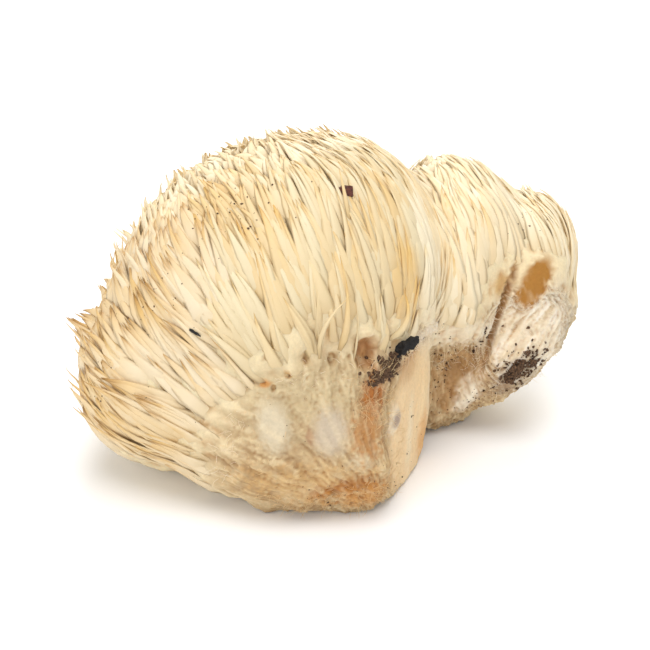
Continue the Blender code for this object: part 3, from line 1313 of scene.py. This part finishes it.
    def kept_out(self, route: Rows, skin: BVHTree) -> Rows:
        """Lifts what would run inside the flesh, all but the root.

        Args:
            route: points of each spine.
            skin: the flesh.

        Returns:
            The points, lifted.
        """
        outer = route[:, 2:].reshape(-1, 3)
        away, out = nearest(skin, outer)
        least = np.tile(np.clip(self.ring_places()[2:] * 2.0 - 0.6, -0.3, 0.3), len(route))
        sunk = np.maximum(least - away, 0.0)
        # A greater depth than this is measured through a thin edge, from the far side.
        sunk = np.where(sunk > 6.0, 0.0, sunk)[:, None]
        lifted = (outer + out * sunk).reshape(len(route), -1, 3)
        return np.concatenate([route[:, :2], lifted], axis=1)

    def piece(self, kind: Growth, paths: Rows, outward: Rows, habit: Rows, on_top: Rows) -> Object:
        """Makes one growth's spines as one mesh.

        Args:
            kind: the growth.
            paths: points of each spine.
            outward: the flesh's normals at the roots.
            habit: how each spine grows.
            on_top: which of them lie on top.

        Returns:
            The object, with its map of colour.
        """
        coat = COATS[kind]
        count, rings = len(paths), self.rings
        fuse = habit[:, FUSE]
        rim = bald_share(paths[:, 0])
        places = self.ring_places()[:rings]
        along = unit(np.gradient(paths, axis=1))[:, :rings]
        across = unit(np.cross(along, outward[:, None, :] + 1e-4))
        upward = np.cross(across, along)
        thick = habit[:, WIDE] * (0.75 + 0.5 * self.rng.random(count))
        thick *= (1.0 - 0.4 * rim * self.rng.random(count)) * np.where(on_top, 1.0, 1.2 + 0.75 * fuse)
        taper = (1 - places**1.25) * (0.4 + 0.6 * eased(places / 0.3))
        flat = (0.66 - 0.3 * fuse) * (0.85 + 0.25 * self.rng.random(count))
        flat *= np.where(on_top, 1.0, 0.8 - 0.3 * fuse)
        flat = (flat[:, None] * (0.25 + 0.75 * eased(places / 0.45)))[..., None]
        lumpy = 1 + self.rng.normal(0, 0.05, (count, rings))
        wide = (thick[:, None] / 2 * taper * lumpy)[..., None]
        made = new_tubes(kind.value, paths, across * wide, upward * flat * wide, self.sides)
        self.chart(made.data, count, coat)
        made.data.materials.append(coat.finish.material())
        return made

    def chart(self, mesh: Mesh, count: int, coat: Coat) -> None:
        """Lays out the map that the colour reads: U along each spine, V from fresh to dried, raised on the
        lower left underside as painted shade.

        Args:
            mesh: the spines.
            count: how many there are.
            coat: how they look.
        """
        each = self.sides * self.rings + 1
        points = points_of(mesh)
        roots = points[::each]
        u = np.append(np.repeat(self.ring_places()[: self.rings], self.sides), 1.0)
        patchy = ripple(roots, 14.0, 71.0) * 0.22 + ripple(roots, 5.0, 77.0) * 0.12
        v = np.repeat(coat.dried + patchy + self.rng.normal(0, 0.22, count), each)
        # Patches of drier spines, and one of painted shade on the lower left underside.
        for patch, amount in DRIED_AND_SHADE_PATCHES:
            v += patch.share(points) * amount
        corner = read(mesh.loops, "vertex_index", 1, np.int32)[:, 0]
        whole = np.clip(np.stack([np.tile(u, count), v], axis=1)[corner], 0.005, 0.995)
        mesh.uv_layers.new(name=MAP).data.foreach_set("uv", whole.astype(np.float32).ravel())


# -------- torn fibres and grains


@dataclass(frozen=True)
class Frayed:
    """A place where the flesh is frayed to fibres."""

    blob: Blob
    count: int
    length_mm: float
    pale: bool = False


FRAYED = (
    Frayed(Blob("ridge", (10, -42, 36), (6, 8, 11)), 220, 5.0),
    Frayed(Blob("foot", (4, -50, 7), (24, 10, 5)), 300, 3.6),
    Frayed(Blob("facet_edge", (17, -37, 14), (6, 8, 13)), 130, 3.6),
    Frayed(Blob("base", (-8, -49, 28), (26, 8, 22)), 50, 2.2),
    Frayed(Blob("web", (-4, -45, 45), (16, 8, 5)), 60, 3.0, True),
    Frayed(Blob("left_rim", (-32, -47, 30), (7, 8, 16)), 50, 4.6, True),
    Frayed(Blob("ledge", (25, -18, 44), (9, 14, 4)), 420, 3.4, True),
    Frayed(Blob("tear", (57, 0, 34), (17, 12, 18)), 360, 3.6, True),
    Frayed(Blob("recess_rim", (36, 0, 28), (8, 10, 6)), 160, 3.0, True),
)


@dataclass
class Fibres:
    """Fine curling fibres that stand off the flesh where it is torn.

    Aside is a way that hardly any of them runs, from which their sides are laid out.
    """

    field: CombField
    thick_mm: float = 0.12
    steps: int = 5
    aside: Vec = (0.31, 0.42, 0.85)
    seed: int = 9

    def build(self, flesh: Object) -> list[Object]:
        """Makes the fibres.

        Args:
            flesh: the flesh that they stand on.

        Returns:
            The pale ones and the honey-coloured ones.
        """
        self.rng = np.random.default_rng(self.seed)
        points, outward = points_of(flesh.data), normals_of(flesh.data)
        made = []
        kinds = ((True, "pale_fibres", PALE_FIBRE), (False, "honey_fibres", HONEY_FIBRE))
        for pale, name, finish in kinds:
            paths = [self.grow(place, points, outward) for place in FRAYED if place.pale == pale]
            made.append(self.piece(name, np.concatenate(paths), finish))
        return made

    def grow(self, place: Frayed, points: Rows, outward: Rows) -> Rows:
        """Grows one place's fibres: each wanders off on its own way, mostly along the flesh.

        Args:
            place: where they are.
            points: the flesh's points.
            outward: its normals there.

        Returns:
            Points of each fibre, root first.
        """
        share = place.blob.share(points) * (bald_share(points) > 0.3) * (points[:, 2] > 0.8)
        share *= OCHRE_FACE.share(points) < 0.1
        pick = self.rng.choice(len(points), place.count, p=share / share.sum())
        spot, out = points[pick], outward[pick]
        lean = unit(self.field.lie(spot) * 0.5 + self.rng.normal(0, 0.75, (place.count, 3)) + out * 0.35)
        step = place.length_mm * (0.4 + 0.9 * self.rng.random((place.count, 1))) / self.steps
        route = [spot - out * 0.1]
        for _ in range(self.steps):
            lean = unit(lean + self.rng.normal(0, 0.24, (place.count, 3)) + out * 0.04)
            route.append(route[-1] + lean * step)
        LOG.info("%s: %d fibres", place.blob.name, place.count)
        route = np.stack(route, axis=1)
        route[:, :, 2] = np.maximum(route[:, :, 2], 0.15)
        return route

    def piece(self, name: str, paths: Rows, finish: FibreFinish) -> Object:
        """Makes fibres of three sides, pointed at the free end.

        Args:
            name: the piece's name.
            paths: points of each fibre.
            finish: what it is made of.

        Returns:
            The object.
        """
        along = unit(np.gradient(paths, axis=1))[:, : self.steps]
        side = unit(np.cross(along, np.array(self.aside)))
        wide = self.thick_mm * (0.6 + 0.9 * self.rng.random((len(paths), 1, 1)))
        wide = wide * (1 - 0.7 * np.arange(self.steps) / self.steps)[:, None] / 2
        made = new_tubes(name, paths, side * wide, np.cross(side, along) * wide, 3)
        made.data.materials.append(finish.material())
        return made


@dataclass(frozen=True)
class Strewn:
    """A place where grains of soil and rotten wood cling."""

    blob: Blob
    count: int
    size_mm: float


STREWN = (
    Strewn(Blob("by_the_chip", (13, -37, 42.5), (4.6, 6, 3.2), (0, -25, 0)), 170, 1.15),
    Strewn(Blob("under_the_ledge", (22, -26, 43), (9, 12, 2.4)), 70, 0.4),
    Strewn(Blob("soil_patch", (55, -1, 25), (6.5, 5, 2.6), (0, -50, 0)), 260, 0.9),
    Strewn(Blob("recess", (36, 0, 19), (9, 9, 11)), 150, 0.5),
    Strewn(Blob("foot", (4, -49, 9), (18, 9, 7)), 46, 0.36),
    Strewn(Blob("facet_foot", (20, -32, 8), (9, 10, 7)), 26, 0.4),
    Strewn(Blob("base", (-8, -48, 28), (24, 8, 18)), 26, 0.3),
    Strewn(Blob("crown", (-28, -27, 83), (12, 12, 7)), 64, 0.42),
    Strewn(Blob("left", (-50, -34, 60), (11, 12, 7)), 26, 0.5),
    Strewn(Blob("left_low", (-62, -30, 34), (12, 16, 12)), 12, 0.45),
    Strewn(Blob("side_top", (56, 12, 68), (5, 8, 5)), 16, 0.45),
)


@dataclass
class Grains:
    """Loose grains, which fall in toward the middle of the head and seat on whatever lies outermost."""

    middle_mm: Vec = (0.0, 12.0, 38.0)
    fall_mm: float = 25.0
    seed: int = 12

    def build(self, under: list[Object]) -> Object:
        """Strews the grains.

        Args:
            under: the pieces that they fall on.

        Returns:
            The grains, as one object.
        """
        self.rng = np.random.default_rng(self.seed)
        graph = bpy.context.evaluated_depsgraph_get()
        trees = [BVHTree.FromObject(piece, graph) for piece in under]
        spots, sizes = [], []
        for place in STREWN:
            found = self.seats(place, trees)
            LOG.info("%s: %d grains", place.blob.name, len(found))
            spots += found
            sizes += list(place.size_mm * (0.45 + 1.0 * self.rng.random(len(found)) ** 2))
        return self.piece(np.array(spots), np.array(sizes))

    def seats(self, place: Strewn, trees: list[BVHTree]) -> list[Rows]:
        """Drops each grain of a place from outside, along a way that points in toward the head.

        Args:
            place: where they cling.
            trees: the pieces that they fall on.

        Returns:
            Where they come to lie, in millimetres.
        """
        centre = np.array(place.blob.centre, float)
        turn = place.blob.turn()
        inward = unit(np.array(self.middle_mm) - centre * np.array([0.35, 1.0, 1.0]))
        found = []
        for _ in range(place.count):
            local = self.rng.normal(0, 0.55, 3) * np.array(place.blob.radii)
            start = centre + turn @ local - inward * self.fall_mm
            hits = [tree.ray_cast(Vector(start * MM), Vector(inward), 0.06) for tree in trees]
            hits = [(far, at) for at, _, _, far in hits if at is not None]
            if hits:
                found.append(np.array(min(hits, key=lambda hit: hit[0])[1]) / MM)
        return found

    def piece(self, spots: Rows, sizes: Rows) -> Object:
        """Makes an uneven, many-cornered grain at each spot.

        Args:
            spots: where they lie, in millimetres.
            sizes: how wide they are.

        Returns:
            The grains, as one object.
        """
        golden = (1 + math.sqrt(5)) / 2
        flat = np.array([(a, b * golden, 0) for a in (-1, 1) for b in (-1, 1)])
        corners = unit(np.concatenate([np.roll(flat, turn, axis=1) for turn in range(3)]))
        bm = bmesh.new()
        points = [bm.verts.new(corner) for corner in corners]
        bmesh.ops.convex_hull(bm, input=points)
        bm.verts.index_update()
        faces = np.array([[vert.index for vert in face.verts] for face in bm.faces])
        bm.free()
        count, each = len(spots), len(corners)
        shape = corners[None] * (1 + self.rng.normal(0, 0.22, (count, each, 1)))
        shape = shape * (0.55 + 0.9 * self.rng.random((count, 1, 3))) * sizes[:, None, None] / 2
        verts = (spots[:, None] + shape).reshape(-1, 3)
        verts[:, 2] = np.maximum(verts[:, 2], 0.05)
        offset = (np.arange(count) * each)[:, None, None]
        made = new_piece("soil_grains", verts, [(faces + offset).reshape(-1, 3)])
        shade(made.data, False)
        made.data.materials.append(MOULD.material())
        return made


# -------- clinging bits


@dataclass(frozen=True)
class Bit:
    """A clinging bit of bark or soil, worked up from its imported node.

    Worn is how far its corners are rounded off, from 0 to 1, and rough is the height in millimetres of
    the lumps of its surface, whose size is crumb_mm. Spines higher than height_mm over its middle keep
    clear of it. Slim is what is left of its thickness along slim_way.
    """

    node: str
    slot: str
    finish: CrumbFinish
    worn: float
    rough: float
    crumb_mm: float
    clearance_mm: float
    height_mm: float = -1.5
    slim: float = 1.0
    slim_way: Vec = (0.0, 0.0, 1.0)

    def build(self) -> Object:
        """Wears the bit's corners and breaks up its faces.

        Returns:
            The object, in place of its node.
        """
        obj = node_copy(self.node, f"{self.node}_detail")
        finished(obj, "SUBSURF", levels=4, render_levels=4, subdivision_type="SIMPLE")
        mesh = obj.data
        points = points_of(mesh)
        points = points + (spread(mesh, points, 60) - points) * self.worn
        way = np.array(self.slim_way)
        points -= ((points - points.mean(axis=0)) @ way)[:, None] * way * (1.0 - self.slim)
        move_points(mesh, points)
        outward = normals_of(mesh)
        rough = ripple(points, self.crumb_mm, 5.0) * self.rough
        rough += (0.5 - pores(points, self.crumb_mm * 0.7, 9.0)) * self.rough
        rough += ripple(points, self.crumb_mm * 0.3, 9.0) * self.rough * 0.3
        move_points(mesh, points + outward * rough[:, None])
        shade(mesh, True)
        mesh.materials.append(self.finish.material())
        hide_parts(self.node)
        return obj


BITS = (
    Bit("bark_chip", "charred_bark", CHARRED, 0.45, 0.5, 1.7, 3.6, -1.5, 0.54, (-0.54, 0, 0.84)),
    Bit("mould_crumb", "leaf_mould", MOULD, 0.4, 0.7, 1.3, 2.4),
    Bit("soil_clod", "leaf_mould", MOULD, 0.5, 0.8, 1.4, 2.4),
    Bit("soil_crumb", "leaf_mould", MOULD, 0.3, 0.3, 0.9, 1.2),
    Bit("bark_flake", "red_brown_bark", RED_BARK, 0.1, 0.1, 0.9, 1.5, 0.2),
    Bit("needle_sliver", "charred_bark", CHARRED, 0.2, 0.08, 0.6, 1.3, -1.5, 0.65, (0.42, 0, 0.91)),
)


# -------- studio


@dataclass(frozen=True)
class Softbox:
    """One round softbox that faces the mushroom, in metres and watts."""

    name: str
    at: Vec
    wide: float
    power: float


@dataclass
class Studio:
    """Pale floor, soft light and the camera."""

    softboxes: tuple[Softbox, ...] = (
        Softbox("key_softbox", (0.05, -0.3, 1.3), 1.0, 10.4),
        Softbox("fill_softbox", (-0.4, -1.2, 0.55), 1.0, 4.8),
        Softbox("left_softbox", (-1.1, -0.4, 0.5), 0.8, 1.4),
        Softbox("back_softbox", (0.1, 0.8, 1.0), 0.9, 7.0),
    )
    room: float = 0.54
    aim_mm: Vec = (-3.3, -3.3, 39.2)
    distance_mm: float = 446.6
    elevation_deg: float = 25.0
    lens_mm: float = 85.0
    floor_m: float = 4.0

    def build(self) -> None:
        """Makes the floor, the lights and the camera."""
        self.floor()
        for softbox in self.softboxes:
            self.hang(softbox)
        world = bpy.data.worlds.new("soft_room")
        world.use_nodes = True
        white = (1.0, 1.0, 1.0, 1.0)
        fill(world.node_tree.nodes["Background"], {"Color": white, "Strength": self.room})
        bpy.context.scene.world = world
        bpy.context.scene.view_settings.view_transform = "Standard"
        self.camera()

    def floor(self) -> None:
        """Makes the white table that the mushroom lies on."""
        bpy.ops.object.select_all(action="DESELECT")
        bpy.ops.mesh.primitive_plane_add(size=self.floor_m)
        plane = bpy.context.object
        plane.name = "white_table"
        made, _, shader = Finish("white_laminate").start()
        fill(shader, {"Base Color": (0.96, 0.96, 0.96, 1.0), "Roughness": 0.9})
        plane.data.materials.append(made)

    def hang(self, softbox: Softbox) -> None:
        """Hangs a softbox.

        Args:
            softbox: which one.
        """
        lamp = bpy.data.lights.new(softbox.name, "AREA")
        lamp.shape = "DISK"
        lamp.size = softbox.wide
        lamp.energy = softbox.power
        made = placed(softbox.name, lamp)
        made.location = softbox.at
        aim = Vector(self.aim_mm) * MM - Vector(softbox.at)
        made.rotation_euler = aim.to_track_quat("-Z", "Y").to_euler()

    def camera(self) -> None:
        """Sets the camera."""
        lens = bpy.data.cameras.new("camera")
        lens.lens = self.lens_mm
        made = placed("camera", lens)
        tilt = math.radians(self.elevation_deg)
        back = Vector((0.0, -math.cos(tilt), math.sin(tilt)))
        made.location = (Vector(self.aim_mm) + back * self.distance_mm) * MM
        made.rotation_euler = (-back).to_track_quat("-Z", "Y").to_euler()
        bpy.context.scene.camera = made


# -------- the whole


def kept(piece: Object, slot: str) -> None:
    """Lets a piece ride on the body and reports it.

    Args:
        piece: the piece.
        slot: the slot's name; not used.
    """
    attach(piece, BODY)
    LOG.info("%s: %d faces", piece.name, len(piece.data.polygons))


def main() -> None:
    """Builds everything in order and reports each piece."""
    logging.basicConfig(level=logging.INFO, format="%(message)s")
    Studio().build()
    field = CombField(COMBS)
    core = Flesh(field)
    flesh = core.build()
    coat = Spines(field, core.reach).build(flesh)
    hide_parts("fruit_body")
    for piece in (flesh, *coat, *Fibres(field).build(flesh)):
        kept(piece, "mushroom_flesh")
    kept(Grains().build([flesh, *coat]), "leaf_mould")
    for bit in BITS:
        kept(bit.build(), bit.slot)


if __name__ == "__main__":
    main()
